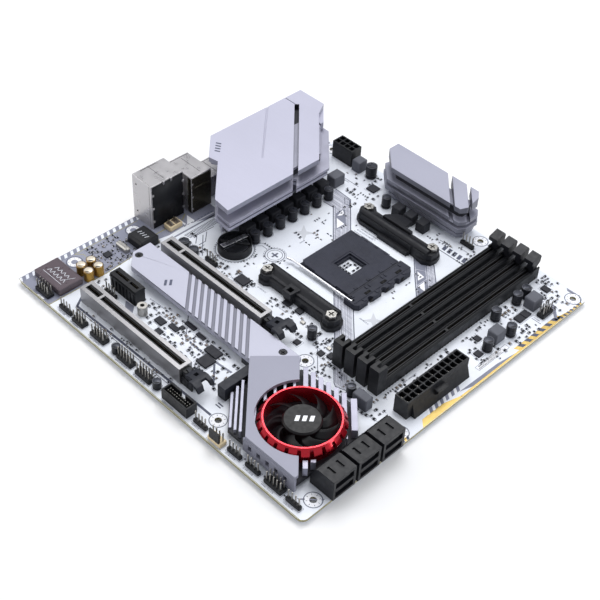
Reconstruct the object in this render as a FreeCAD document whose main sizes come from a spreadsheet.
import FreeCAD, Part
import math
import os
import re
import Sketcher

# Micro-ATX computer motherboard, millimetres.
# Sizes and places are kept in board coordinates: origin at the rear lower corner of the
# circuit board, +X towards the front edge (24-pin power side), +Y towards the top edge
# (CPU power side), Z counted from the component side of the board. Each finished
# sub-part carries one Placement that moves board coordinates to the part's own frame:
# origin under the middle of the board on the plane it rests on.

V = FreeCAD.Vector
doc = FreeCAD.newDocument("motherboard")
sheet = doc.addObject("Spreadsheet::Sheet", "dims")
D = {}
ROW = [0]


def cell(alias, value):
    ROW[0] += 1
    n = ROW[0]
    sheet.set("A%d" % n, alias)
    sheet.set("B%d" % n, "%.6g" % value)
    sheet.setAlias("B%d" % n, alias)
    D[alias] = float("%.6g" % value)
    return "dims." + alias


PARAMS = [
    ("board_width", 243.84), ("board_depth", 243.84), ("board_thick", 1.6), ("board_corner", 4.0),
    ("tail_height", 2.0), ("board_left", -121.92), ("board_front", -121.92), ("board_top", 3.6),
    ("mount_radius", 1.985), ("hole_col_rear", 10.16), ("hole_col_mid", 165.1), ("hole_col_front", 237.49),
    ("hole_row_low", 13.97), ("hole_row_rear_low", 34.29), ("hole_row_mid", 80.01), ("hole_row_top", 237.49),
    ("hole_col_power", 33.02), ("cooler_x_low", 100.8), ("cooler_pitch_x", 54.0), ("cooler_y_low", 111.0),
    ("cooler_pitch_y", 90.0), ("post_hole_radius", 2.45), ("post_radius", 2.3), ("post_bore", 1.8),
    ("screw_radius", 1.7), ("screw_head_radius", 3.5), ("plate_thick", 2.0),
    ("slot_pitch", 9.2), ("slot_first", 176.4), ("slot_width", 7.0), ("slot_height", 8.0), ("slot_low", 89.9),
    ("slot_end", 229.3), ("slot_groove", 1.7), ("tower_height", 18.6), ("tower_depth", 7.3), ("key_row", 152.5),
    ("ejector_pivot_y", 233.2), ("ejector_pivot_z", 2.4), ("ejector_pin", 0.8), ("ear_gap", 0.1),
    ("card_slot_start", 41.5), ("card_slot_length", 89.4), ("card_slot_width", 7.4), ("card_slot_height", 10.9),
    ("card_row_upper", 81.6), ("card_row_lower", 20.6), ("card_row_short", 41.0), ("card_groove", 1.8),
    ("shield_width", 9.3), ("shield_gauge", 0.5), ("card_key_x", 56.2), ("card_pivot_x", 6.4), ("card_pivot_z", 2.6),
    ("fan_x", 203.4), ("fan_y", 39.2), ("ring_bore", 20.6), ("ring_outer", 24.4), ("ring_top", 16.0), ("hub_radius", 10.9),
    ("hub_top", 12.6), ("blade_tip", 19.5), ("blade_count", 9), ("cover_top", 13.7), ("cover_gauge", 2.0),
    ("power_pitch", 4.2), ("power_height", 12.8), ("power_cavity", 3.5),
    ("lever_y", 133.1), ("lever_x", 150.2), ("lever_z", 2.7), ("lever_radius", 0.8), ("lever_reach", 53.0),
    ("socket_cx", 127.4), ("socket_cy", 156.2), ("socket_window", 12.4), ("can_small", 3.15), ("can_height", 8.0),
    ("vrm_can_pitch", 11.0), ("sata_pitch", 18.6), ("sata_width", 16.6), ("sata_height", 14.5), ("io_front", -1.0),
]
for _a, _v in PARAMS:
    cell(_a, _v)

ALIAS = re.compile(r"(?<![\w.])([a-z][a-z0-9]*(?:_[a-z0-9]+)+)")
AUTO = {}


def expr(value, hint):
    # a number becomes a cell of its own; text is an expression over the sheet's aliases
    if isinstance(value, str):
        return ALIAS.sub(r"dims.\1", value)
    AUTO[hint] = AUTO.get(hint, 0) + 1
    name = "%s_n%s" % (hint, "abcdefghijklmnopqrstuvwxyz"[AUTO[hint] // 26 % 26] + "abcdefghijklmnopqrstuvwxyz"[AUTO[hint] % 26] + "x" * (AUTO[hint] // 676))
    return cell(name, float(value))


def low(name):
    return re.sub(r"[^a-z]+", "_", name.lower().translate(str.maketrans("0123456789", "zabcdefghi"))).strip("_")


NODES = []


def seat(obj, node, dz="0"):
    obj.Label = node
    obj.setExpression("Placement.Base.x", "dims.board_left")
    obj.setExpression("Placement.Base.y", "dims.board_front")
    obj.setExpression("Placement.Base.z", ALIAS.sub(r"dims.\1", "board_top + " + dz))
    NODES.append((node, obj))
    return obj


def box(name, x, y, z, dx, dy, dz):
    o = doc.addObject("Part::Box", name)
    k = low(name)
    for prop, val in (("Length", dx), ("Width", dy), ("Height", dz), ("Placement.Base.x", x), ("Placement.Base.y", y), ("Placement.Base.z", z)):
        o.setExpression(prop, expr(val, k))
    return o


def cyl(name, x, y, z, r, h, axis="z"):
    o = doc.addObject("Part::Cylinder", name)
    k = low(name)
    if axis == "x":
        o.Placement = FreeCAD.Placement(V(0, 0, 0), FreeCAD.Rotation(V(0, 1, 0), 90))
    elif axis == "y":
        o.Placement = FreeCAD.Placement(V(0, 0, 0), FreeCAD.Rotation(V(1, 0, 0), -90))
    for prop, val in (("Radius", r), ("Height", h), ("Placement.Base.x", x), ("Placement.Base.y", y), ("Placement.Base.z", z)):
        o.setExpression(prop, expr(val, k))
    return o


def cut(name, base, tools):
    tool = tools[0] if len(tools) == 1 else fuse(name + "_tools", tools)
    o = doc.addObject("Part::Cut", name)
    o.Base = base
    o.Tool = tool
    return o


def fuse(name, parts):
    o = doc.addObject("Part::MultiFuse", name)
    o.Shapes = parts
    return o


def group(name, parts):
    o = doc.addObject("Part::Compound", name)
    o.Links = parts
    return o


def plane(body, role="XY_Plane"):
    for f in body.Origin.OriginFeatures:
        if f.Role == role:
            return f


def outline(body, name, loops, z=0.0, role="XY_Plane", offset=None, circles=(), bind=True):
    # one sketch of closed polygons and circles, every vertex held by driving dimensions
    sk = body.newObject("Sketcher::SketchObject", name)
    sk.AttachmentSupport = [(plane(body, role), "")]
    sk.MapMode = "FlatFace"
    sk.AttachmentOffset = offset or FreeCAD.Placement(V(0, 0, z), FreeCAD.Rotation())
    k = low(name)
    binds = []
    for pts in loops:
        g0 = len(sk.Geometry)
        n = len(pts)
        sk.addGeometry([Part.LineSegment(V(pts[i][0], pts[i][1], 0), V(pts[(i + 1) % n][0], pts[(i + 1) % n][1], 0)) for i in range(n)], False)
        cons = [Sketcher.Constraint("Coincident", g0 + i, 2, g0 + (i + 1) % n, 1) for i in range(n)]
        for i in range(n):
            cons.append(Sketcher.Constraint("DistanceX", -1, 1, g0 + i, 1, pts[i][0]))
            cons.append(Sketcher.Constraint("DistanceY", -1, 1, g0 + i, 1, pts[i][1]))
        base = len(sk.Constraints)
        sk.addConstraint(cons)
        if bind:
            for i in range(n):
                binds.append((base + n + 2 * i, pts[i][0]))
                binds.append((base + n + 2 * i + 1, pts[i][1]))
    for c in circles:
        g = sk.addGeometry(Part.Circle(V(c[0], c[1], 0), V(0, 0, 1), c[2]), False)
        base = len(sk.Constraints)
        sk.addConstraint([Sketcher.Constraint("DistanceX", -1, 1, g, 3, c[0]), Sketcher.Constraint("DistanceY", -1, 1, g, 3, c[1]), Sketcher.Constraint("Radius", g, c[2])])
        if bind:
            ex = c[3] if len(c) > 3 else (c[0], c[1], c[2])
            for j in range(3):
                binds.append((base + j, ex[j]))
    for index, val in binds:
        if isinstance(val, str) or abs(val) > 1e-9:
            sk.setExpression("Constraints[%d]" % index, expr(val, k))
    return sk


def body_of(name):
    return doc.addObject("PartDesign::Body", name)


def pad(body, name, loops, z, length, circles=(), **kw):
    sk = outline(body, name + "_sketch", loops, z, circles=circles, **kw)
    p = body.newObject("PartDesign::Pad", name)
    p.Profile = sk
    p.setExpression("Length", expr(length, low(name)))
    body.Tip = p
    return p


def pocket(body, name, loops, z, depth, circles=(), **kw):
    # cuts downwards from height z
    sk = outline(body, name + "_sketch", loops, z, circles=circles, **kw)
    p = body.newObject("PartDesign::Pocket", name)
    p.Profile = sk
    p.setExpression("Length", expr(depth, low(name)))
    body.Tip = p
    return p


def solid(name, pts, z0, z1):
    # plain prism used as a building block inside booleans
    b = body_of(name)
    pad(b, name + "_pad", [pts], z0, z1 - z0)
    return b


def side_prism(name, pts, y0, y1):
    # profile in X,Z carried along +Y: the sketch lies on the XZ plane
    b = body_of(name)
    sk = b.newObject("Sketcher::SketchObject", name + "_sketch")
    sk.AttachmentSupport = [(plane(b, "XZ_Plane"), "")]
    sk.MapMode = "FlatFace"
    sk.AttachmentOffset = FreeCAD.Placement(V(0, 0, -y0), FreeCAD.Rotation())
    fill(sk, pts, low(name))
    p = b.newObject("PartDesign::Pad", name + "_pad")
    p.Profile = sk
    p.Reversed = True
    p.setExpression("Length", expr(y1 - y0, low(name)))
    b.Tip = p
    return b


def end_prism(name, pts, x0, x1):
    # profile in Y,Z carried along +X: the sketch lies on the YZ plane
    b = body_of(name)
    sk = b.newObject("Sketcher::SketchObject", name + "_sketch")
    sk.AttachmentSupport = [(plane(b, "YZ_Plane"), "")]
    sk.MapMode = "FlatFace"
    sk.AttachmentOffset = FreeCAD.Placement(V(0, 0, x0), FreeCAD.Rotation())
    fill(sk, pts, low(name))
    p = b.newObject("PartDesign::Pad", name + "_pad")
    p.Profile = sk
    p.setExpression("Length", expr(x1 - x0, low(name)))
    b.Tip = p
    return b


def fill(sk, pts, k):
    n = len(pts)
    sk.addGeometry([Part.LineSegment(V(pts[i][0], pts[i][1], 0), V(pts[(i + 1) % n][0], pts[(i + 1) % n][1], 0)) for i in range(n)], False)
    cons = [Sketcher.Constraint("Coincident", i, 2, (i + 1) % n, 1) for i in range(n)]
    for i in range(n):
        cons.append(Sketcher.Constraint("DistanceX", -1, 1, i, 1, pts[i][0]))
        cons.append(Sketcher.Constraint("DistanceY", -1, 1, i, 1, pts[i][1]))
    sk.addConstraint(cons)
    for i in range(n):
        for j in (0, 1):
            if abs(pts[i][j]) > 1e-9:
                sk.setExpression("Constraints[%d]" % (n + 2 * i + j), expr(pts[i][j], k))


def rect(x0, y0, x1, y1):
    return [(x0, y0), (x1, y0), (x1, y1), (x0, y1)]


def feature(node, shape):
    # shapes made of many small repeated solids: built from the sheet's numbers, then placed
    o = doc.addObject("Part::Feature", node)
    o.Shape = shape
    o.Label = node
    o.Placement = FreeCAD.Placement(V(D["board_left"], D["board_front"], D["board_top"]), FreeCAD.Rotation()).multiply(shape.Placement)
    NODES.append((node, o))
    return o


def bx(x0, y0, z0, x1, y1, z1):
    return Part.makeBox(x1 - x0, y1 - y0, z1 - z0, V(x0, y0, z0))


def can(x, y, r, h, z=0.0):
    # radial capacitor: moulded foot, waist groove and rolled top edge, one revolved profile
    pts = [V(0, 0, 0), V(r, 0, 0), V(r, 0, h * 0.14), V(r - 0.25, 0, h * 0.2), V(r - 0.25, 0, h * 0.26), V(r, 0, h * 0.32), V(r, 0, h - 0.5), V(r - 0.5, 0, h), V(0, 0, h), V(0, 0, 0)]
    f = Part.Face(Part.makePolygon(pts))
    s = f.revolve(V(0, 0, 0), V(0, 0, 1), 360)
    s.translate(V(x, y, z))
    return s


def chamfered(x0, y0, z0, x1, y1, z1, c):
    # block with its four upright edges and its top rim broken
    s = bx(x0, y0, z0, x1, y1, z1)
    keep = [e for e in s.Edges if min(v.Z for v in e.Vertexes) > z1 - 1e-6 or abs(e.Vertexes[0].Z - e.Vertexes[1].Z) > 1e-6]
    return s.makeChamfer(c, keep)


# ---------------------------------------------------------------- circuit board
pcb = body_of("pcb")
W = D["board_width"]
mount_cells = [
    ("hole_col_rear", "hole_row_rear_low"), ("hole_col_rear", "hole_row_mid"), ("hole_col_mid", "hole_row_low"), ("hole_col_mid", "hole_row_mid"),
    ("hole_col_mid", "hole_row_top"), ("hole_col_front", "hole_row_low"), ("hole_col_front", "hole_row_mid"), ("hole_col_front", "hole_row_top"),
    ("hole_col_power", "hole_row_top"),
]
circles = [(D[a], D[b], D["mount_radius"], (a, b, "mount_radius")) for a, b in mount_cells]
for i in (0, 1):
    for j in (0, 1):
        circles.append((D["cooler_x_low"] + i * D["cooler_pitch_x"], D["cooler_y_low"] + j * D["cooler_pitch_y"], D["post_hole_radius"],
                        ("cooler_x_low + %d * cooler_pitch_x" % i, "cooler_y_low + %d * cooler_pitch_y" % j, "post_hole_radius")))
pad(pcb, "board_plate", [rect(0, 0, W, D["board_depth"])], -D["board_thick"], "board_thick", circles=circles)
doc.recompute()
corner_edges = []
for i, e in enumerate(pcb.Shape.Edges):
    if len(e.Vertexes) == 2 and abs(e.Vertexes[0].Z - e.Vertexes[1].Z) > 1 and min(abs(e.Vertexes[0].X), abs(e.Vertexes[0].X - W)) < 1e-6 and min(abs(e.Vertexes[0].Y), abs(e.Vertexes[0].Y - W)) < 1e-6:
        corner_edges.append("Edge%d" % (i + 1))
plate_feature = pcb.Tip
rounding = pcb.newObject("PartDesign::Fillet", "board_corners")
rounding.Base = (plate_feature, corner_edges)
rounding.setExpression("Radius", "dims.board_corner")
pcb.Tip = rounding
seat(pcb, "pcb")

# ---------------------------------------------------------------- cooler backplate and its posts
bp = body_of("cpu_backplate")
zb = -D["board_thick"] - D["plate_thick"]
pad(bp, "backplate_sheet", [[(101, 103.5), (154.6, 103.5), (162.3, 111.2), (162.3, 200.8), (154.6, 208.5), (101, 208.5), (93.3, 200.8), (93.3, 111.2)],
                            [(118.4, 148.2), (119.9, 146.7), (134.9, 146.7), (136.4, 148.2), (136.4, 163.8), (134.9, 165.3), (119.9, 165.3), (118.4, 163.8)]], zb, "plate_thick")
posts = [(c[0], c[1]) for c in circles[9:]]
pad(bp, "backplate_posts", [], zb + D["plate_thick"], "board_thick + 3.0", circles=[(x, y, D["post_radius"], (x, y, "post_radius")) for x, y in posts])
pocket(bp, "backplate_threads", [], 3.0, "board_thick + 4.0", circles=[(x, y, D["post_bore"], (x, y, "post_bore")) for x, y in posts])
seat(bp, "cpu_backplate")

# ---------------------------------------------------------------- processor socket
cx, cy, half = D["socket_cx"], D["socket_cy"], D["socket_window"] / 2
base = body_of("cpu_socket_base")
pad(base, "socket_floor", [rect(105.3, 134.6, 146.5, 180.2)], 0, 2.4)
# cam box: right flank with three scallops
cam = [(146.5, 130.6), (155.2, 130.6), (157.4, 132.8), (157.4, 140.4), (155.6, 141.4), (155.6, 143.6), (157.4, 144.6), (157.4, 152.2), (155.6, 153.2), (155.6, 155.4),
       (157.4, 156.4), (157.4, 164.0), (155.6, 165.0), (155.6, 167.2), (157.4, 168.2), (157.4, 178.6), (154.6, 181.4), (146.5, 181.4)]
pad(base, "cam_box", [cam], 0, 4.3)
pocket(base, "socket_window_cut", [rect(cx - half, cy - half, cx + half, cy + half)], 2.4, 2.4)
pocket(base, "lever_slot", [rect(146.0, 131.9, 152.3, 134.2)], 4.3, 3.5)
pocket(base, "cam_marks", [rect(151.6, 143.0, 153.4, 147.0), rect(151.6, 157.0, 153.4, 161.0), rect(151.6, 170.6, 153.4, 174.6)], 4.3, 0.7)
bore = cyl("cam_bore", "lever_x", "lever_y", "lever_z", "lever_radius + 0.12", 18.0, "y")
socket_base = cut("cpu_socket_base_cut", base, [bore])
seat(socket_base, "cpu_socket_base")

cover = body_of("cpu_socket_cover")
pad(cover, "cover_sheet", [[(105.3, 137.0), (107.3, 135.0), (118.0, 135.0), (118.0, 134.2), (136.0, 134.2), (136.0, 135.0), (146.0, 135.0), (146.0, 180.0), (138.0, 180.0), (138.0, 180.7),
                            (114.0, 180.7), (114.0, 180.0), (105.3, 180.0)], rect(cx - half - 1, cy - half - 1, cx + half + 1, cy + half + 1)], 2.45, 1.75)
# pin field: shallow stepped rim round the window
pocket(cover, "cover_step", [rect(cx - half - 2.2, cy - half - 2.2, cx + half + 2.2, cy + half + 2.2)], 4.2, 0.35)
seat(cover, "cpu_socket_cover")

# lever: round wire, arm along the socket side, shaft into the cam box, thumb tip bent outwards
lr, ly, lx, lz = D["lever_radius"], D["lever_y"], D["lever_x"], D["lever_z"]
lever_pts = [V(lx, ly + 17.0, lz), V(lx, ly, lz), V(lx - D["lever_reach"] + 3.0, ly, lz), V(lx - D["lever_reach"], ly - 1.6, lz + 0.6)]
segs = []
for a, b in zip(lever_pts[:-1], lever_pts[1:]):
    segs.append(Part.makeCylinder(lr, (b - a).Length, a, b - a))
for p in lever_pts:
    segs.append(Part.makeSphere(lr, p))
lever_shape = segs[0].multiFuse(segs[1:]).removeSplitter()
feature("cpu_socket_lever", lever_shape)

# ---------------------------------------------------------------- cooler brackets
def bracket(node, mirror):
    y0, y1 = D["cooler_y_low"], D["cooler_y_low"] + D["cooler_pitch_y"]
    xa, xb = D["cooler_x_low"], D["cooler_x_low"] + D["cooler_pitch_x"]
    mid = (y0 + y1) / 2

    def m(pts):
        if not mirror:
            return pts
        return [(xa + xb - x, 2 * mid - y) for x, y in pts]

    yh = y1 if mirror else y0
    b = body_of(node + "_body")
    pad(b, node + "_foot", [m([(96.6, 107.6), (99.0, 105.4), (103.2, 105.4), (106.8, 108.2), (148.8, 108.2), (152.6, 105.4), (157.0, 105.4), (160.0, 108.2), (161.0, 113.0),
                               (158.8, 117.6), (154.2, 120.0), (137.4, 120.0), (137.4, 121.6), (112.6, 121.6), (112.6, 120.0), (100.8, 120.0), (96.2, 117.0), (95.4, 112.0)])], 0, 3.0)
    pad(b, node + "_shoulder", [m([(97.2, 108.4), (99.4, 106.2), (103.0, 106.2), (106.2, 109.2), (149.4, 109.2), (152.8, 106.2), (156.6, 106.2), (159.2, 108.8), (160.0, 113.0),
                                   (158.0, 116.6), (153.8, 118.8), (101.0, 118.8), (96.8, 116.2), (96.2, 112.0)])], 3.0, 4.4)
    # long bar with a steep flank towards the socket and a slope away from it
    spine = [(118.9, 1.0), (118.9, 3.2), (118.2, 8.4), (117.2, 9.5), (115.8, 9.9), (114.4, 9.6), (107.9, 5.2), (107.9, 1.0)]
    bar = end_prism(node + "_spine", [(2 * mid - y if mirror else y, z) for y, z in spine], 99.4, 156.2)
    if mirror:
        # broad sloping clip hook for the cooler spring
        hook = end_prism(node + "_hook", [(201.0, 4.4), (201.0, 9.4), (209.8, 8.2), (213.2, 6.4), (213.2, 5.2), (208.0, 5.2)], 113.0, 136.4)
        notch = solid(node + "_hook_notch", [(137.4, 203.4), (137.4, 214.4), (127.8, 214.4), (130.4, 203.4)], 4.5, 12.0)
        under = solid(node + "_hook_under", [(110.0, 203.0), (110.0, 214.4), (119.4, 214.4), (112.9, 203.0)], 4.5, 12.0)
    else:
        hook = solid(node + "_hook", [(120.0, 105.0), (126.8, 105.0), (127.6, 112.8), (119.2, 112.8)], 1.2, 8.8)
        notch = solid(node + "_hook_notch", [(121.6, 106.6), (125.2, 106.6), (125.2, 110.2), (121.6, 110.2)], 5.0, 12.0)
        under = solid(node + "_hook_under", [(118.0, 103.0), (129.0, 103.0), (129.0, 106.0), (118.0, 106.0)], 0.0, 4.6)
    dip = solid(node + "_dip", m([(112.0, 118.2), (112.0, 122.0), (99.0, 122.0), (99.0, 120.4)]), 0.0, 12.0)
    whole = fuse(node + "_fused", [b, bar, hook])
    tools = [notch, under, dip]
    for n, xh in enumerate((xa, xb)):
        tools.append(cyl("%s_post_relief_%s" % (node, "ab"[n]), xh, yh, -0.5, "post_radius + 0.1", 3.6))
        tools.append(cyl("%s_screw_hole_%s" % (node, "ab"[n]), xh, yh, -0.5, "screw_radius + 0.15", 12.0))
        tools.append(cyl("%s_head_recess_%s" % (node, "ab"[n]), xh, yh, 7.4, 4.2, 6.0))
    seat(cut(node + "_cut", whole, tools), node)


bracket("cooler_bracket_lower", False)
bracket("cooler_bracket_upper", True)

screws = []
for n, (x, y) in enumerate(posts):
    k = "abcd"[n]
    shank = cyl("bracket_shank_" + k, x, y, -1.2, "screw_radius", 8.7)
    head = doc.addObject("Part::Prism", "bracket_head_" + k)
    head.Polygon = 6
    head.setExpression("Circumradius", "dims.screw_head_radius")
    head.setExpression("Height", expr(2.4, "bracket_head"))
    head.setExpression("Placement.Base.x", expr(x, "bracket_head"))
    head.setExpression("Placement.Base.y", expr(y, "bracket_head"))
    head.setExpression("Placement.Base.z", expr(7.45, "bracket_head"))
    one = fuse("bracket_screw_" + k, [shank, head])
    slots = [box("bracket_cross_a_" + k, x - 0.45, y - 2.0, 8.7, 0.9, 4.0, 2.0), box("bracket_cross_b_" + k, x - 2.0, y - 0.45, 8.7, 4.0, 0.9, 2.0)]
    screws.append(cut("bracket_screw_cut_" + k, one, slots))
seat(group("cooler_bracket_screws_all", screws), "cooler_bracket_screws")

# ---------------------------------------------------------------- memory slots and ejectors
for i in range(4):
    n = i + 1
    k = "abcd"[i]
    x0 = D["slot_first"] + i * D["slot_pitch"]
    w = D["slot_width"]
    xm = x0 + w / 2
    yl, ye = D["slot_low"], D["slot_end"]
    b = body_of("dimm_slot_body_" + k)
    pad(b, "dimm_bar_" + k, [rect(x0, yl, x0 + w, ye)], 0, "slot_height")
    pad(b, "dimm_tower_" + k, [rect(x0, yl, x0 + w, yl + D["tower_depth"])], 0, "tower_height")
    pad(b, "dimm_ears_" + k, [rect(x0, ye - 0.5, x0 + 0.95, ye + 7.6), rect(x0 + w - 0.95, ye - 0.5, x0 + w, ye + 7.6)], 0, 8.6)
    groove = D["slot_groove"] / 2
    pocket(b, "dimm_groove_low_" + k, [rect(xm - groove, yl + 3.0, xm + groove, D["key_row"] - 0.9)], D["slot_height"], "slot_height - 2.0")
    pocket(b, "dimm_groove_high_" + k, [rect(xm - groove, D["key_row"] + 0.9, xm + groove, ye + 1)], D["slot_height"], "slot_height - 2.0")
    pocket(b, "dimm_tower_notch_" + k, [rect(xm - 1.25, yl + 3.0, xm + 1.25, yl + 9)], D["tower_height"] + 0.2, "tower_height - slot_height + 0.2")
    # chamfers along the top of the bar leave two narrow rails beside the groove
    rails = [side_prism("dimm_rail_" + k + s, pts, yl + D["tower_depth"] + 0.2, ye + 0.4) for s, pts in (
        ("_left", [(x0 - 0.2, D["slot_height"] + 0.2), (x0 - 0.2, D["slot_height"] - 1.1), (x0 + 1.2, D["slot_height"] + 0.2)]),
        ("_right", [(x0 + w + 0.2, D["slot_height"] + 0.2), (x0 + w - 1.2, D["slot_height"] + 0.2), (x0 + w + 0.2, D["slot_height"] - 1.1)]))]
    flute = [box("dimm_flute_%s_%s" % (s, k), x0 + o, yl + 9.0, 7.35, 0.7, ye - yl - 9.0, 1.0) for s, o in (("left", 1.35), ("right", w - 2.05))]
    pin = cyl("dimm_pin_bore_" + k, x0 - 1, "ejector_pivot_y", "ejector_pivot_z", "ejector_pin + 0.08", w + 2, "x")
    seat(cut("dimm_slot_cut_" + k, b, rails + flute + [pin]), "dimm_slot_%d" % n)

    py, pz = D["ejector_pivot_y"], D["ejector_pivot_z"]
    g = D["ear_gap"]
    stem = end_prism("dimm_ejector_stem_" + k, [(py - 1.9, pz - 1.2), (py + 1.6, pz - 1.2), (py + 2.6, pz + 1.6), (py + 2.6, 6.0), (py + 1.5, 11.6), (py + 1.5, 15.0), (py - 1.9, 15.0)], x0 + 0.95 + g, x0 + w - 0.95 - g)
    head = end_prism("dimm_ejector_head_" + k, [(py - 1.9, 12.2), (py + 0.8, 11.4), (py + 3.0, 13.4), (py + 3.4, 17.4), (py + 2.4, 19.0), (py - 5.0, 16.9), (py - 5.0, 14.2)], x0 + 0.25, x0 + w - 0.25)
    trunnion = cyl("dimm_trunnion_" + k, x0 + 0.15, "ejector_pivot_y", "ejector_pivot_z", "ejector_pin", w - 0.3, "x")
    grip = [box("dimm_grip_%s_%s" % ("abc"[j], k), x0 - 0.5, py - 3.4 + 2.0 * j, 17.9 + 0.55 * j, w + 1, 0.6, 3.0) for j in range(3)]
    seat(cut("dimm_latch_cut_" + k, fuse("dimm_latch_fused_" + k, [stem, head, trunnion]), grip), "dimm_latch_%d" % n)

# ---------------------------------------------------------------- expansion slots
def card_slot(node, k, yc, length, shield, low_side=0.0, high_side=0.0):
    xs = D["card_slot_start"]
    xe = xs + length
    hw = D["card_slot_width"] / 2
    b = body_of(node + "_body")
    pad(b, node + "_bar", [rect(xs + 0.6, yc - hw, xe - 0.6, yc + hw)], 0, "card_slot_height")
    gr = D["card_groove"] / 2
    kx = D["card_key_x"]
    pocket(b, node + "_groove_short", [rect(xs + 2.0, yc - gr, kx - 0.8, yc + gr)], D["card_slot_height"], 8.2)
    pocket(b, node + "_groove_long", [rect(kx + 0.8, yc - gr, xe - 2.2, yc + gr)], D["card_slot_height"], 8.2)
    if not shield:
        seat(b, node)
        return
    # hinge cheeks for the card latch
    pad(b, node + "_neck", [rect(xe - 0.6, yc - hw, xe + 0.3, yc + hw)], 0, 5.6)
    pad(b, node + "_cheeks", [rect(xe + 0.1, yc - hw, xe + 9.2, yc - hw + 0.8), rect(xe + 0.1, yc + hw - 0.8, xe + 9.2, yc + hw)], 0, 6.2)
    pad(b, node + "_end_block", [rect(xe + 0.1, yc - hw + 0.8, xe + 3.6, yc + hw - 0.8)], 0, 9.8)
    pocket(b, node + "_end_pocket", [rect(xe + 1.2, yc - 1.1, xe + 3.6, yc + 1.1)], 9.8, 6.4)
    hole = cyl(node + "_pin_bore", xe + D["card_pivot_x"], yc - 6, "card_pivot_z", 0.98, 12, "y")
    seat(cut(node + "_cut", b, [hole]), node)

    sw = D["shield_width"] / 2
    t = D["shield_gauge"]
    s = body_of(node.replace("slot", "shield") + "_body")
    kk = node.replace("slot", "shield")
    pad(s, kk + "_walls", [rect(xs, yc - sw, xe, yc + sw), rect(xs + t, yc - sw + t, xe - t, yc + sw - t)], 0, D["card_slot_height"] + 0.02)
    pad(s, kk + "_lid", [rect(xs, yc - sw, xe, yc + sw), rect(xs + 2.0, yc - 2.1, kx - 0.9, yc + 2.1), rect(kx + 0.9, yc - 2.1, xe - 2.2, yc + 2.1)], D["card_slot_height"] + 0.02, t)
    # the moulding passes out under the end wall; the walls stand on feet between side cut-outs
    pocket(s, kk + "_end_opening", [rect(xe - 1, yc - hw - 0.1, xe + 1, yc + hw + 0.1)], 5.7, 5.7)
    pocket(s, kk + "_relief", [rect(xs + 6 + 16 * j, yc - sw - 1, xs + 15 + 16 * j, yc + sw + 1) for j in range(5)], 1.1, 1.1)
    seat(s, kk)

    xp, zp = xe + D["card_pivot_x"], D["card_pivot_z"]
    kl = node.replace("slot", "latch")
    root = side_prism(kl + "_root", [(xe + 4.0, 4.4), (xe + 4.6, 2.0), (xe + 6.0, 1.1), (xe + 7.2, 1.1), (xe + 8.4, 2.4), (xe + 8.8, 6.4), (xe + 10.4, 8.0), (xe + 8.0, 9.9), (xe + 5.2, 10.2), (xe + 4.0, 9.0)], yc - hw + 0.9, yc + hw - 0.9)
    arch = side_prism(kl + "_arch", [(xe + 4.2, 8.0), (xe + 8.8, 7.8), (xe + 11.8, 9.7), (xe + 11.8, 12.0), (xe + 7.0, 11.2), (xe + 4.2, 10.0)], yc - hw - 0.4, yc + hw + 0.4)
    tail = side_prism(kl + "_tail", [(xe + 10.6, 9.2), (xe + 13.0, 10.2), (xe + 15.8, 9.6), (xe + 17.6, 7.6), (xe + 18.8, 8.1), (xe + 17.0, 11.2), (xe + 13.4, 12.3), (xe + 10.6, 11.8)], yc - low_side, yc + high_side)
    nib = side_prism(kl + "_nib", [(xe + 4.2, 8.6), (xe + 4.2, 10.0), (xe + 2.6, 10.6), (xe + 1.4, 10.4), (xe + 1.4, 9.95), (xe + 3.8, 9.9)], yc - 1.0, yc + 1.0)
    pivot = cyl(kl + "_pivot", xp, yc - hw + 0.1, "card_pivot_z", 0.9, 2 * hw - 0.2, "y")
    window = box(kl + "_window", xe + 7.6, yc - 1.3, 7.0, 2.6, 2.6, 6.0)
    fork = solid(kl + "_fork", [(xe + 14.4, yc - 1.8), (xe + 20.0, yc - 3.0), (xe + 20.0, yc + 3.0), (xe + 14.4, yc + 1.8)], 5.0, 14.0)
    seat(cut(kl + "_cut", fuse(kl + "_fused", [root, arch, tail, nib, pivot]), [window, fork]), kl)


card_slot("pcie_x16_slot_upper", "upper", D["card_row_upper"], D["card_slot_length"], True, 6.3, 7.2)
card_slot("pcie_x16_slot_lower", "lower", D["card_row_lower"], D["card_slot_length"], True, 6.8, 4.6)
card_slot("pcie_x1_slot", "short", D["card_row_short"], 25.0, False)

# ---------------------------------------------------------------- M.2 drive bay
mc = body_of("m2_cover_body")
pad(mc, "m_cover_plate", [[(43.6, 52.0), (34.4, 61.0), (34.4, 74.5), (167.0, 74.5), (168.5, 70.6), (151.9, 52.0)]], 4.5, 4.0)
# diagonal cooling grooves across the plate
grooves = [[(c, 76.0), (c + 2.6, 76.0), (c + 28.6, 50.0), (c + 26.0, 50.0)] for c in [69.6 + 5.7 * j for j in range(10)]]
pocket(mc, "m_cover_grooves", grooves, 8.5, 1.0)
pocket(mc, "m_cover_counterbores", [], 8.5, 1.6, circles=[(38.9, 62.0, 2.5), (157.3, 69.6, 2.5)])
pocket(mc, "m_cover_holes", [], 7.0, 3.0, circles=[(38.9, 62.0, 1.6), (157.3, 69.6, 1.6)])
seat(mc, "m2_heatsink_cover")
stand = []
for k, (x, y, hgt) in zip("abc", ((38.9, 62.0, 4.45), (157.3, 69.6, 4.45), (73.3, 36.5, 6.6))):
    o = cut("m_standoff_" + k, cyl("m_standoff_post_" + k, x, y, 0, 2.6 if hgt < 5 else 3.1, hgt), [cyl("m_standoff_bore_" + k, x, y, 0.8, 1.3, 6.0)])
    stand.append(o)
seat(group("m_standoffs_all", stand), "m2_standoffs")
heads = []
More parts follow.
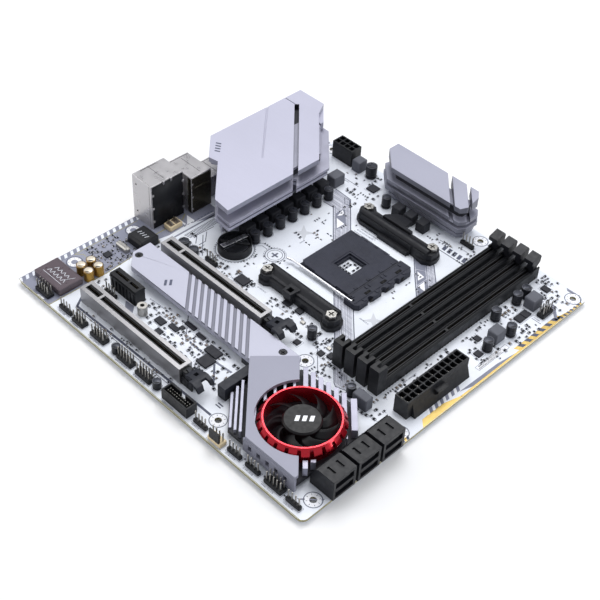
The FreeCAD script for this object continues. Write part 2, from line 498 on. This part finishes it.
for k, (x, y, z, len_) in zip("abcd", ((38.9, 62.0, 6.95, 5.4), (157.3, 69.6, 6.95, 5.4))):
    sc = fuse("m_screw_" + k, [cyl("m_screw_head_" + k, x, y, z, 2.3, 1.1), cyl("m_screw_shank_" + k, x, y, z - len_, 1.2, len_ + 0.1)])
    heads.append(cut("m_screw_cut_" + k, sc, [box("m_screw_cross_a_" + k, x - 0.3, y - 1.3, z + 0.4, 0.6, 2.6, 1.0), box("m_screw_cross_b_" + k, x - 1.3, y - 0.3, z + 0.4, 2.6, 0.6, 1.0)]))
seat(group("m_screws_all", heads), "m2_screws")


def m2_socket(node, x0, x1, y0, y1, h, mouth_low):
    b = body_of(node + "_body")
    pad(b, node + "_block", [rect(x0, y0, x1, y1)], 0, h)
    # card mouth on the rear flank, with the key post left standing
    key = y0 + 6.2
    m1 = side_prism(node + "_mouth_a", [(x0 - 1, mouth_low), (x0 + 3.4, mouth_low), (x0 + 3.4, mouth_low + 1.1), (x0 - 1, mouth_low + 1.9)], y0 + 1.0, key - 0.6)
    m2 = side_prism(node + "_mouth_b", [(x0 - 1, mouth_low), (x0 + 3.4, mouth_low), (x0 + 3.4, mouth_low + 1.1), (x0 - 1, mouth_low + 1.9)], key + 0.6, y1 - 1.0)
    return cut(node + "_cut", b, [m1, m2])


seat(group("m_connectors_all", [m2_socket("m2_connector_upper", 141.5, 149.5, 52.4, 74.0, 4.3, 1.9), m2_socket("m2_connector_lower", 151.5, 157.5, 25.6, 47.6, 9.2, 5.6)]), "m2_connectors")

# ---------------------------------------------------------------- chipset cooler
cv = body_of("chipset_cover_body")
ct, cg = D["cover_top"], D["cover_gauge"]
pad(cv, "chipset_cover_plate", [[(152.6, 48.0), (191.6, 9.1), (228.4, 9.1), (228.4, 11.6), (170.4, 69.6), (169.0, 70.6), (150.9, 50.3)]], ct - cg, "cover_gauge")
pad(cv, "chipset_cover_front", [[(190.2, 8.8), (228.4, 8.8), (228.4, 10.4), (191.4, 10.4)]], 2.0, "cover_top - cover_gauge - 1.9")
pad(cv, "chipset_cover_flank", [[(152.6, 48.0), (191.4, 9.2), (192.5, 10.3), (153.7, 49.1)]], 9.6, "cover_top - cover_gauge - 9.5")
windows = [box("chipset_window_" + "abcde"[j], x, 6.0, 5.0, 2.6, 7.0, 3.6) for j, x in enumerate((194.0, 200.6, 207.2, 213.8, 220.4))]
fan_hole = [cyl("chipset_fan_hole", "fan_x", "fan_y", 5.0, 24.8, 12), cyl("chipset_fan_crescent", 202.2, 41.5, 5.0, 26.3, 12)]
seat(cut("chipset_cover_cut", cv, windows + fan_hole), "chipset_cover")

sink = body_of("chipset_sink_body")
pad(sink, "chipset_sink_base", [[(158.2, 28.8), (176.2, 10.8), (226.6, 10.8), (226.6, 58.4), (211.4, 73.4), (200.0, 72.4), (172.0, 70.8), (158.2, 55.2)]], 2.0, 2.6)


def diagonal(c, x_low, x_high, t):
    # wall of thickness t along the line x + y = c
    o = t / 2 / math.sqrt(2)
    return [(x_low - o, c - x_low - o), (x_high - o, c - x_high - o), (x_high + o, c - x_high + o), (x_low + o, c - x_low + o)]


fins = []
for j, (c, a, b2, t, h) in enumerate((
        (245.0, 175.6, 226.0, 2.7, 10.4), (250.9, 181.1, 226.0, 2.7, 10.4), (256.8, 186.6, 226.0, 2.7, 10.4), (262.7, 192.1, 226.0, 2.7, 10.4), (268.6, 197.6, 226.0, 2.7, 10.4), (274.5, 203.1, 226.0, 2.7, 10.4), (281.8, 209.6, 225.6, 3.4, 10.4),
        (188.6, 158.6, 176.6, 1.5, 5.6), (192.6, 158.6, 180.8, 1.5, 7.5), (196.6, 158.6, 184.8, 1.5, 9.4), (236.4, 168.6, 225.0, 1.5, 11.6), (229.0, 166.6, 217.0, 1.5, 11.6), (221.6, 161.0, 210.0, 1.5, 11.6), (214.2, 159.4, 202.6, 1.5, 11.6), (206.8, 159.0, 195.0, 1.5, 11.6))):
    fins.append(solid("chipset_fin_" + "abcdefghijklmnop"[j], diagonal(c, a, b2, t), 4.4, h))
well = cyl("chipset_fan_well", "fan_x", "fan_y", 4.6, 24.9, 12)
seat(cut("chipset_sink_cut", fuse("chipset_sink_fused", [sink] + fins), [well]), "chipset_heatsink")
seat(group("chipset_package_all", [box("chipset_substrate", 183.0, 25.0, 0.0, 27.0, 27.0, 1.1), box("chipset_die", 190.5, 32.0, 1.1, 12.0, 12.0, 0.88)]), "chipset_package")

# fan ring: flanged conical rim with castellated skirt
ring = body_of("fan_ring_body")
sk = ring.newObject("Sketcher::SketchObject", "fan_ring_sketch")
sk.AttachmentSupport = [(plane(ring, "XZ_Plane"), "")]
sk.MapMode = "FlatFace"
rb, ro, rt = D["ring_bore"], D["ring_outer"], D["ring_top"]
fill(sk, [(rb, 4.65), (rb + 1.2, 4.65), (rb + 1.2, 11.2), (ro - 0.2, 11.2), (ro, 12.2), (rb + 1.1, rt), (rb + 0.1, rt), (rb, rt - 0.4)], "fan_ring_sketch")
rev = ring.newObject("PartDesign::Revolution", "fan_ring_turned")
rev.Profile = sk
rev.ReferenceAxis = (sk, ["V_Axis"])
rev.Angle = 360
ring.Tip = rev
tooth = outline(ring, "fan_ring_tooth_sketch", [[(rb + 1.6, -0.9), (ro + 2, -1.5), (ro + 2, 1.5), (rb + 1.6, 0.9)]], 15.0)
notch = ring.newObject("PartDesign::Pocket", "fan_ring_tooth")
notch.Profile = tooth
notch.Length = 10
doc.recompute()
pat = ring.newObject("PartDesign::PolarPattern", "fan_ring_teeth")
pat.Originals = [notch]
for f in ring.Origin.OriginFeatures:
    if f.Role == "Z_Axis":
        pat.Axis = (f, [""])
pat.Angle = 360
pat.Occurrences = 22
ring.Tip = pat
ring.Label = "fan_ring"
ring.setExpression("Placement.Base.x", "dims.board_left + dims.fan_x")
ring.setExpression("Placement.Base.y", "dims.board_front + dims.fan_y")
ring.setExpression("Placement.Base.z", "dims.board_top")
NODES.append(("fan_ring", ring))

# fan rotor: domed hub, curved pitched blades and the spindle, one moulded piece
fx, fy = D["fan_x"], D["fan_y"]
hub_profile = [V(0, 0, 7.0), V(8.6, 0, 7.0), V(8.6, 0, 6.2), (V(D["hub_radius"], 0, 6.2)), V(D["hub_radius"], 0, D["hub_top"] - 0.9), V(D["hub_radius"] - 0.9, 0, D["hub_top"]), V(0, 0, D["hub_top"]), V(0, 0, 7.0)]
hub = Part.Face(Part.makePolygon(hub_profile)).revolve(V(0, 0, 0), V(0, 0, 1), 360)
spindle = Part.makeCylinder(1.0, 4.2, V(0, 0, 3.2))
blades = []
nb = int(D["blade_count"])


def blade_wire(radius, turn, pitch, chord, thick, z):
    # closed aerofoil-like section, square to the radius at that turn
    c, s = math.cos(math.radians(pitch)), math.sin(math.radians(pitch))
    prof = [(-chord / 2, 0), (-chord / 4, thick * 0.5), (chord / 4, thick * 0.5), (chord / 2, 0), (chord / 4, -thick * 0.5), (-chord / 4, -thick * 0.5)]
    out = V(math.cos(turn), math.sin(turn), 0)
    side = V(-math.sin(turn), math.cos(turn), 0)
    pts = [out * radius + side * (u * c - w * s) + V(0, 0, z + u * s + w * c) for u, w in prof]
    pts.append(pts[0])
    return Part.makePolygon(pts)


blade = Part.makeLoft([blade_wire(D["hub_radius"] - 1.4, 0, 36, 6.0, 0.9, 9.2), blade_wire(13.4, 0.10, 34, 7.8, 0.9, 9.4),
                       blade_wire(16.2, 0.26, 31, 9.2, 0.85, 9.6), blade_wire(D["blade_tip"] - 0.5, 0.46, 28, 10.0, 0.8, 9.8)], True, False)
for j in range(nb):
    one = blade.copy()
    one.rotate(V(0, 0, 0), V(0, 0, 1), 360.0 * j / nb)
    blades.append(one)
rotor = hub.multiFuse([spindle] + blades)
if len(rotor.Solids) == 1:
    rotor = rotor.Solids[0]
rotor.translate(V(fx, fy, 1.8))
feature("fan_rotor", rotor)

stator_disc = cyl("fan_stator_disc", "fan_x", "fan_y", 4.65, 8.2, 3.8)
stator_bore = cyl("fan_stator_bore", "fan_x", "fan_y", 4.8, 1.1, 6)
seat(cut("fan_motor_base_cut", stator_disc, [stator_bore]), "fan_motor_base")

# ---------------------------------------------------------------- voltage regulator coolers
left = body_of("vrm_left_cover_body")
top_poly = [(2.5, 152.3), (2.5, 234.2), (25.1, 234.2), (30.8, 223.8), (67.3, 187.3), (67.3, 109.0), (54.0, 110.4), (26.4, 137.3), (19.4, 135.9)]
pad(left, "vrm_left_top_plate", [top_poly], 31.5, 3.5)
pad(left, "vrm_left_io_step", [[(2.5, 219.5), (2.5, 234.2), (25.1, 234.2), (36.9, 222.3), (36.9, 219.5)]], 26.2, 5.4)
pad(left, "vrm_left_skirt", [[(3.6, 152.6), (3.6, 219.6), (26.0, 219.6), (26.0, 141.0), (19.6, 137.6)]], 29.0, 2.6)
slit = solid("vrm_left_slit", [(12.4, 218.9), (14.6, 221.1), (70.0, 165.7), (70.0, 163.5), (67.8, 163.5)], 31.0, 36.0)
seam = solid("vrm_left_seam", [(1.0, 219.1), (12.8, 219.1), (12.8, 219.7), (1.0, 219.7)], 34.2, 36.0)
crease = solid("vrm_left_crease", [(1.0, 205.6), (1.0, 203.6), (42.0, 160.6), (42.4, 161.4)], 34.5, 36.0)
seat(cut("vrm_left_cover_cut", left, [slit, seam, crease]), "vrm_cover_left")

lcore = body_of("vrm_left_sink_body")
pad(lcore, "vrm_left_pedestal", [[(26.0, 146.0), (26.0, 216.0), (38.0, 216.0), (51.5, 200.0), (51.5, 118.5), (46.0, 121.0)]], 2.7, 7.6)
pad(lcore, "vrm_left_core", [[(26.0, 146.0), (26.0, 218.0), (38.0, 218.0), (60.0, 196.0), (60.0, 114.0), (55.0, 115.6), (29.0, 141.0)]], 10.2, 21.25)
pad(lcore, "vrm_left_plate_low", [[(24.2, 142.0), (24.2, 222.0), (40.6, 222.0), (69.5, 193.5), (69.5, 107.4), (56.0, 108.6), (29.0, 135.4)]], 20.5, 2.0)
pad(lcore, "vrm_left_plate_mid", [[(24.2, 143.0), (24.2, 223.9), (40.6, 223.9), (69.5, 194.9), (69.5, 108.8), (56.6, 110.0), (29.6, 136.8)]], 23.5, 2.0)
front_slit = solid("vrm_left_front_slit", [(62.0, 169.5), (63.6, 171.1), (71.5, 163.2), (71.5, 160.0)], 19.0, 26.5)
channels = [box("vrm_left_channel_" + "abcdef"[j], 24.0, 150.0 + 11.0 * j, 11.4, 40.0, 2.4, 8.4) for j in range(6)]
seat(cut("vrm_left_sink_cut", lcore, [front_slit] + channels), "vrm_heatsink_left")

ts = body_of("vrm_top_sink_body")
pad(ts, "vrm_top_foot", [[(88.0, 242.6), (155.0, 242.6), (156.6, 238.6), (156.6, 228.4), (153.6, 225.6), (96.0, 225.6), (86.4, 236.0)]], 2.7, 3.0)
pad(ts, "vrm_top_core", [[(90.0, 240.6), (151.0, 240.6), (153.0, 237.0), (153.0, 231.0), (151.0, 229.0), (98.0, 229.0), (89.0, 237.0)]], 5.6, 17.0)
pad(ts, "vrm_top_plate_low", [[(83.6, 243.84), (155.4, 243.84), (158.4, 240.0), (158.4, 228.6), (155.2, 223.9), (93.8, 223.9), (81.6, 235.8)]], 8.0, 3.3)
pad(ts, "vrm_top_plate_mid", [[(84.0, 243.84), (155.0, 243.84), (158.0, 240.0), (158.0, 229.0), (155.0, 224.3), (94.2, 224.3), (82.0, 236.2)]], 13.5, 2.8)
pad(ts, "vrm_top_cap", [[(85.0, 243.84), (153.2, 243.84), (156.6, 239.8), (156.6, 230.2), (153.6, 226.0), (95.6, 226.0), (83.4, 237.2)]], 21.7, 8.3)
slope = end_prism("vrm_top_slope", [(220.0, 23.74), (245.0, 30.36), (245.0, 34.0), (220.0, 34.0)], 70.0, 170.0)
tslits = [solid("vrm_top_slit_a", [(127.0, 244.6), (128.8, 246.4), (151.8, 223.4), (150.0, 221.6)], 14.0, 32.0), solid("vrm_top_slit_b", [(142.6, 244.6), (144.2, 246.2), (160.6, 229.8), (159.0, 228.2)], 14.0, 32.0)]
tslot_keep = body_of("vrm_top_web_body")
pad(tslot_keep, "vrm_top_web", [[(90.0, 240.6), (151.0, 240.6), (153.0, 237.0), (153.0, 231.0), (151.0, 229.0), (98.0, 229.0), (89.0, 237.0)]], 14.0, 8.6)
seat(fuse("vrm_top_sink_all", [cut("vrm_top_sink_cut", ts, [slope] + tslits), tslot_keep]), "vrm_heatsink_top")

vy = [130.0 + D["vrm_can_pitch"] * j for j in range(7)]
fets = [bx(40.5, y - 2.6, 0, 46.5, y + 2.6, 1.1) for y in vy] + [bx(31.0, y - 2.6, 0, 37.0, y + 2.6, 1.1) for y in vy[2:]] + [bx(x, 232.0, 0, x + 5.2, 238.0, 1.1) for x in (98.0, 108.0, 118.0, 128.0, 138.0)]
feature("vrm_mosfets", Part.makeCompound(fets))
feature("vrm_thermal_pads", Part.makeCompound([bx(30.0, 145.6, 1.1, 47.4, 200.5, 2.7), bx(40.0, 127.0, 1.1, 47.4, 145.2, 2.7), bx(97.0, 231.0, 1.1, 144.0, 239.0, 2.7)]))


def choke(x0, y0, sx, sy, h):
    body = chamfered(x0, y0, 0, x0 + sx, y0 + sy, h, 0.5)
    return body


chokes = [choke(56.4, y - 2.2, 8.2, 8.2, 8.2) for y in vy] + [choke(x, 214.6, 7.2, 7.2, 7.4) for x in (108.2, 118.6, 129.0)]
cans = [can(69.6, y, D["can_small"], D["can_height"]) for y in vy]
for x, y, r, h in ((71.8, 235.0, 3.9, 9.0), (216.4, 208.6, 3.0, 8.0), (216.6, 217.0, 3.0, 8.0), (216.6, 188.0, 3.1, 8.0), (200.4, 80.4, 2.8, 7.4), (229.4, 164.4, 3.1, 8.0), (154.4, 96.0, 2.9, 8.0), (88.0, 5.5, 2.6, 5.4), (124.5, 5.2, 2.6, 5.4),
                   (42.9, 94.2, 3.5, 4.2), (52.4, 93.8, 3.3, 4.2), (100.5, 218.5, 3.1, 8.0), (230.8, 184.4, 3.1, 8.0)):
    cans.append(can(x, y, r, h))
feature("polymer_capacitors", Part.makeCompound(cans))
feature("power_inductors", Part.makeCompound(chokes + [chamfered(x, y, 0, x + sx, y + sy, h, 0.5) for x, y, sx, sy, h in (
    (57.4, 230.6, 7.4, 8.0, 8.4), (220.5, 209.5, 8.0, 9.2, 8.0), (223.4, 170.6, 7.6, 8.8, 8.0), (204.6, 76.4, 10.6, 6.0, 8.6), (57.4, 206.2, 8.0, 10.0, 8.2))]))

# ---------------------------------------------------------------- power connectors
def power_connector(node, x0, y0, nx, ny, wall, latch):
    p = D["power_pitch"]
    x1, y1 = x0 + nx * p + 2 * wall, y0 + ny * p + 2 * wall
    b = body_of(node + "_body")
    pad(b, node + "_shell", [rect(x0, y0, x1, y1)], 0, "power_height")
    c = (p - D["power_cavity"]) / 2
    holes = []
    for i in range(nx):
        for j in range(ny):
            hx, hy = x0 + wall + i * p, y0 + wall + j * p
            q = 0.8 if (i + j) % 3 else 0.05
            holes.append([(hx + c + q, hy + c), (hx + p - c - q, hy + c), (hx + p - c, hy + c + q), (hx + p - c, hy + p - c), (hx + c, hy + p - c), (hx + c, hy + c + q)])
    pocket(b, node + "_cavities", holes, D["power_height"], 9.6, bind=False)
    extra = latch(x0, y0, x1, y1)
    seat(fuse(node + "_all", [b] + extra), node)


power_connector("eps_power_connector", 37.9, 231.9, 4, 2, 0.55, lambda x0, y0, x1, y1: [end_prism("eps_latch", [(y1, 3.0), (y1 + 1.7, 8.0), (y1 + 1.7, 9.6), (y1, 9.6)], x0 + 6.4, x1 - 6.4)])
power_connector("atx_power_connector", 224.0, 89.2, 2, 12, 0.6, lambda x0, y0, x1, y1: [
    side_prism("atx_ramp", [(x1, 0.0), (x1 + 3.0, 0.0), (x1, 9.4)], y0 + 4.0, y1 - 1.0),
    side_prism("atx_latch", [(x1, 4.0), (x1 + 3.4, 7.4), (x1 + 3.4, 9.2), (x1, 9.2)], (y0 + y1) / 2 - 4.2, (y0 + y1) / 2 + 4.2)])

# power pins stand inside the cavities
pins = []
for x0, y0, nx, ny in ((38.45, 232.45, 4, 2), (224.6, 89.8, 2, 12)):
    for i in range(nx):
        for j in range(ny):
            mx, my = x0 + (i + 0.5) * D["power_pitch"], y0 + (j + 0.5) * D["power_pitch"]
            pins.append(bx(mx - 0.55, my - 0.55, 3.2, mx + 0.55, my + 0.55, 10.4))

# ---------------------------------------------------------------- drive connectors
stacks = []
for j in range(3):
    y0 = 20.6 + D["sata_pitch"] * j
    b = body_of("sata_body_" + "abc"[j])
    pad(b, "sata_block_" + "abc"[j], [rect(228.2, y0, 244.84, y0 + D["sata_width"])], 0, "sata_height")
    cuts = [side_prism("sata_back_" + "abc"[j], [(227.0, 15.0), (227.0, 7.0), (228.2, 7.0), (231.8, 14.5), (231.8, 15.0)], y0 - 0.5, y0 + D["sata_width"] + 0.5),
            side_prism("sata_step_" + "abc"[j], [(231.9, 15.0), (231.9, 13.9), (233.0, 13.9), (233.0, 15.0)], y0 - 0.5, y0 + D["sata_width"] + 0.5),
            box("sata_top_slot_a_" + "abc"[j], 235.2, y0 + 4.2, 13.5, 5.4, 1.5, 2.0), box("sata_top_slot_b_" + "abc"[j], 235.2, y0 + 10.6, 13.5, 5.4, 1.5, 2.0)]
    for m, z in (("low", 1.5), ("high", 8.3)):
        cuts.append(box("sata_mouth_%s_%s" % (m, "abc"[j]), 238.4, y0 + 1.6, z, 8.0, 13.2, 4.4))
    shell = cut("sata_cut_" + "abc"[j], b, cuts)
    blades_ = [box("sata_blade_%s_%s" % (m, "abc"[j]), 238.2, y0 + 3.4, z, 5.6, 9.6, 1.1) for m, z in (("low", 3.2), ("high", 10.0))]
    stacks.append(fuse("sata_stack_" + "abc"[j], [shell] + blades_))
seat(group("sata_ports_all", stacks), "sata_ports")

# ---------------------------------------------------------------- rear connectors
xf = D["io_front"]


def shelled(node, x1, y0, y1, h, cuts, extra=()):
    b = chamfered(xf, y0, 0, x1, y1, h, 0.3)
    for c in cuts:
        b = b.cut(c)
    if extra:
        b = b.multiFuse(list(extra))
    s = b.Solids[0] if len(b.Solids) == 1 else b
    feature(node, s)


def bore_x(x0, x1, y, z, r):
    return Part.makeCylinder(r, x1 - x0, V(x0, y, z), V(1, 0, 0))


# five round audio jacks and an optical outlet, three by two
jack_cuts, jack_rims = [], []
for i in range(3):
    for j in range(2):
        y, z = 97.6 + 10.6 * j, 6.4 + 10.8 * i
        if (i, j) == (2, 1):
            jack_cuts.append(bx(xf - 1, y - 3.6, z - 3.2, xf + 7, y + 3.6, z + 3.2))
        else:
            jack_cuts.append(bore_x(xf - 1, xf + 13, y, z, 1.8))
            jack_cuts.append(bore_x(xf - 1, xf + 0.8, y, z, 4.2))
            jack_rims.append(bore_x(xf + 0.1, xf + 0.9, y, z, 3.7).cut(bore_x(xf - 1, xf + 2, y, z, 1.8)))
shelled("audio_jack_stack", 18.0, 89.8, 115.6, 33.4, jack_cuts, jack_rims)


def usb_cut(y, z, x=0.0):
    # wide receptacle with its tongue left standing
    return bx(xf - 1, y - 6.4, z, xf + 11, y + 6.4, z + 5.4).cut(bx(xf + 0.8, y - 5.6, z + 2.6, xf + 12, y + 5.6, z + 4.4))


rj = bx(xf - 1, 120.9, 14.6, xf + 14, 132.7, 23.0).cut(bx(xf + 5, 122.9, 21.8, xf + 15, 130.7, 23.1))
rj = rj.fuse(bx(xf - 1, 124.0, 22.9, xf + 9, 129.6, 26.0))
shelled("lan_usb_stack", 22.4, 118.4, 135.2, 28.3, [rj, usb_cut(126.8, 1.2), usb_cut(126.8, 7.8)])
usb_pair = []
for y0 in (139.4, 180.6):
    one = chamfered(xf, y0, 0, 17.0, y0 + 15.2, 15.6, 0.3)
    for z in (1.4, 8.4):
        one = one.cut(usb_cut(y0 + 7.6, z))
    usb_pair.append(one)
feature("usb_port_stacks", Part.makeCompound(usb_pair))
dp = bx(xf - 1, 159.8, 10.6, xf + 10, 175.8, 15.6).cut(bx(xf + 1, 161.4, 12.8, xf + 11, 174.2, 14.0))
hd = bx(xf - 1, 160.6, 1.6, xf + 10, 175.0, 6.4).cut(bx(xf + 1, 162.0, 3.4, xf + 11, 173.6, 4.6))
shelled("display_port_stack", 14.0, 157.8, 177.6, 17.6, [dp, hd])
ps = bore_x(xf - 1, xf + 9, 207.0, 6.9, 5.0).cut(bore_x(xf + 0.8, xf + 10, 207.0, 6.9, 4.1))
shelled("keyboard_port", 13.0, 199.6, 214.4, 13.8, [ps])

# ---------------------------------------------------------------- audio, network and clock parts
feature("audio_shield", chamfered(4.0, 9.2, 0.3, 29.7, 26.5, 5.0, 0.6).fuse(bx(6.0, 11.0, 0.0, 27.5, 24.5, 0.4)).removeSplitter())
feature("audio_capacitors", Part.makeCompound([can(x, y, D["can_small"], 7.2) for x, y in ((21.3, 31.6), (28.5, 31.6), (21.3, 39.0), (28.5, 39.0))]))
feature("network_module", chamfered(15.6, 70.2, 0.4, 31.2, 84.8, 6.6, 1.6).fuse(bx(16.6, 71.6, 0.0, 30.2, 83.4, 0.6)).removeSplitter())
feature("crystals", Part.makeCompound([chamfered(14.4, 62.2, 0, 25.4, 66.4, 3.4, 1.0), chamfered(166.0, 95.6, 0, 169.2, 98.2, 1.0, 0.3), chamfered(140.6, 99.4, 0, 143.8, 101.9, 1.0, 0.3)]))

bh = body_of("battery_holder_body")
pad(bh, "battery_base", [], 0, 5.6, circles=[(66.5, 115.6, 10.9)])
pocket(bh, "battery_well", [], 5.6, 4.2, circles=[(66.5, 115.6, 10.2)])
seat(bh, "battery_holder")
seat(fuse("coin_cell_all", [cyl("coin_cell_can", 66.5, 115.6, 1.45, 10.0, 2.2), cyl("coin_cell_cap", 66.5, 115.6, 3.6, 8.8, 1.0)]), "coin_cell")
clip = body_of("battery_clip_body")
pad(clip, "battery_clip_arm", [[(57.6, 111.2), (59.0, 109.8), (66.2, 115.4), (74.0, 121.0), (73.0, 122.4), (65.2, 116.6)]], 4.7, 0.6)
seat(clip, "battery_clip")

# ---------------------------------------------------------------- pin headers
HEADERS = [
    # x0, y0, x1, y1, columns, rows, pin top, base height
    (14.2, 2.4, 26.9, 7.5, 5, 2, 8.6, 2.5), (36.4, 3.4, 47.6, 5.9, 4, 1, 8.6, 2.5), (50.2, 2.2, 60.4, 7.3, 4, 2, 8.6, 2.5), (66.6, 2.8, 79.3, 7.9, 5, 2, 8.6, 2.5),
    (91.2, 2.6, 103.9, 7.7, 5, 2, 8.6, 2.5), (107.6, 2.6, 120.3, 7.7, 5, 2, 8.6, 2.5), (156.4, 3.4, 166.6, 5.9, 4, 1, 8.6, 2.5), (183.4, 3.4, 193.6, 5.9, 4, 1, 8.6, 2.5),
    (197.4, 3.4, 207.6, 5.9, 4, 1, 8.6, 2.5), (211.8, 3.2, 224.5, 8.3, 5, 2, 8.6, 2.5), (227.6, 3.4, 237.8, 5.9, 4, 1, 8.6, 2.5),
    (43.4, 31.2, 53.6, 33.7, 4, 1, 8.6, 2.5), (61.6, 94.8, 71.8, 97.3, 4, 1, 8.8, 2.8), (231.4, 208.6, 236.5, 218.8, 2, 4, 8.8, 2.6), (157.2, 226.2, 167.4, 228.7, 4, 1, 8.8, 2.6),
]
bases, hpins = [], []
for x0, y0, x1, y1, nc, nr, top, bh_ in HEADERS:
    bases.append(chamfered(x0, y0, 0, x1, y1, bh_, 0.3))
    for i in range(nc):
        for j in range(nr):
            px, py_ = x0 + (x1 - x0) * (i + 0.5) / nc, y0 + (y1 - y0) * (j + 0.5) / nr
            hpins.append(bx(px - 0.32, py_ - 0.32, bh_, px + 0.32, py_ + 0.32, top))
# fan header: base with a polarising wall beside its four pins
bases.append(chamfered(170.4, 1.4, 0, 180.6, 6.4, 2.8, 0.3).fuse(bx(171.6, 1.4, 2.0, 179.4, 2.6, 9.0)).removeSplitter())
for i in range(4):
    hpins.append(bx(171.7 + 2.54 * i - 0.32, 4.4, 2.8, 171.7 + 2.54 * i + 0.32, 5.04, 9.0))
bases.append(chamfered(20.4, 96.4, 0, 27.4, 106.4, 3.4, 0.4))
feature("pin_header_bases", Part.makeCompound(bases))

ub = body_of("usb_header_body")
pad(ub, "usb_header_shell", [rect(132.0, 2.0, 153.0, 9.6)], 0, 7.2)
pocket(ub, "usb_header_well", [rect(133.1, 3.1, 151.9, 8.5)], 7.2, 5.8)
pocket(ub, "usb_header_key", [rect(140.6, 8.0, 144.4, 10.0)], 7.2, 5.0)
seat(ub, "usb_header")
feature("connector_pins", Part.makeCompound(pins + hpins + [bx(134.6 + 1.75 * i - 0.25, y - 0.25, 1.4, 134.6 + 1.75 * i + 0.25, y + 0.25, 6.6) for i in range(10) for y in (4.9, 6.7)]))

# ---------------------------------------------------------------- integrated circuits
CHIPS = [
    (16.2, 51.0, 20.8, 55.6, 1.0), (82.4, 37.4, 89.0, 42.0, 1.2), (91.4, 40.4, 98.6, 43.8, 0.9), (89.2, 31.2, 94.0, 35.4, 1.0), (96.4, 53.0 - 4.2, 104.8, 51.6, 1.0), (107.6, 47.6, 114.4, 50.2, 0.9),
    (120.4, 42.8, 130.6, 48.6, 1.4), (123.8, 33.8, 132.0, 42.0, 1.1), (87.2, 95.8, 95.8, 102.6, 1.2), (121.4, 103.4, 127.0, 107.5, 0.9), (131.6, 103.8, 136.6, 107.5, 1.1), (165.2, 88.6, 169.0, 92.4, 0.9),
    (170.8, 91.0, 174.6, 95.2, 1.2), (79.2, 222.2, 86.0, 229.0, 1.0), (218.4, 229.6, 224.0, 233.8, 1.0), (223.7, 196.0, 229.1, 201.4, 1.1), (223.7, 201.8, 229.1, 207.2, 1.1), (226.2, 155.4, 230.8, 159.8, 0.9), (218.0, 165.0, 222.2, 168.8, 0.9),
    (96.8, 60.2 - 16, 100.0, 47.0, 0.8), (149.6, 84.8, 153.4, 88.6, 0.9),
]
feature("integrated_circuits", Part.makeCompound([chamfered(a, b, 0, c, d, h, 0.12) for a, b, c, d, h in CHIPS]))

# ---------------------------------------------------------------- solder tails under the board
TAILS = [(40.55, 234.55), (53.15, 234.55), (40.55, 238.75), (53.15, 238.75), (226.7, 91.9), (230.9, 91.9), (226.7, 138.1), (230.9, 138.1), (226.7, 115.0), (230.9, 115.0),
         (4.0, 93.0), (4.0, 112.0), (14.0, 93.0), (14.0, 112.0), (6.0, 122.0), (18.0, 131.0), (6.0, 143.0), (14.0, 151.0), (6.0, 162.0), (12.0, 174.0), (6.0, 185.0), (14.0, 192.0), (5.0, 203.0), (10.0, 211.0),
         (45.0, 20.6), (86.0, 20.6), (128.0, 20.6), (45.0, 81.6), (86.0, 81.6), (128.0, 81.6), (44.0, 41.0), (65.0, 41.0),
         (179.9, 94.0), (207.5, 94.0), (179.9, 226.0), (207.5, 226.0), (179.9, 160.0), (207.5, 160.0), (233.0, 25.0), (233.0, 70.0), (15.5, 5.0), (72.0, 5.4), (112.0, 5.2), (135.0, 5.6), (150.0, 5.6), (218.0, 5.8), (236.0, 4.6),
         (202.5, 5.0), (188.0, 5.0), (60.0, 116.0), (73.0, 116.0)]
rad = 0.75
cone = [Part.makeCylinder(rad, D["tail_height"], V(x, y, -D["board_thick"] - D["tail_height"])) for x, y in TAILS]
feature("solder_tails", Part.makeCompound(cone))

# ---------------------------------------------------------------- checks and export
doc.recompute()
problems = []
for o in doc.Objects:
    if "Invalid" in o.State or "Error" in o.State:
        problems.append("%s (%s): %s" % (o.Name, o.Label, o.State))
for node, o in NODES:
    s = o.Shape
    if s.isNull() or not s.isValid() or not s.Solids:
        problems.append("%s: shape null %s, solids %d" % (node, s.isNull(), len(s.Solids) if not s.isNull() else 0))
names = [n for n, _ in NODES]
if len(set(names)) != len(names):
    problems.append("a node name is used twice")
if problems:
    raise RuntimeError("; ".join(problems))
os.makedirs("parts", exist_ok=True)
box_all = FreeCAD.BoundBox()
for node, o in NODES:
    o.Shape.exportStep("parts/%s.step" % node)
    box_all.add(o.Shape.BoundBox)
print("%d nodes, %d sheet rows" % (len(NODES), ROW[0]))
print("box x %.3f..%.3f y %.3f..%.3f z %.3f..%.3f" % (box_all.XMin, box_all.XMax, box_all.YMin, box_all.YMax, box_all.ZMin, box_all.ZMax))
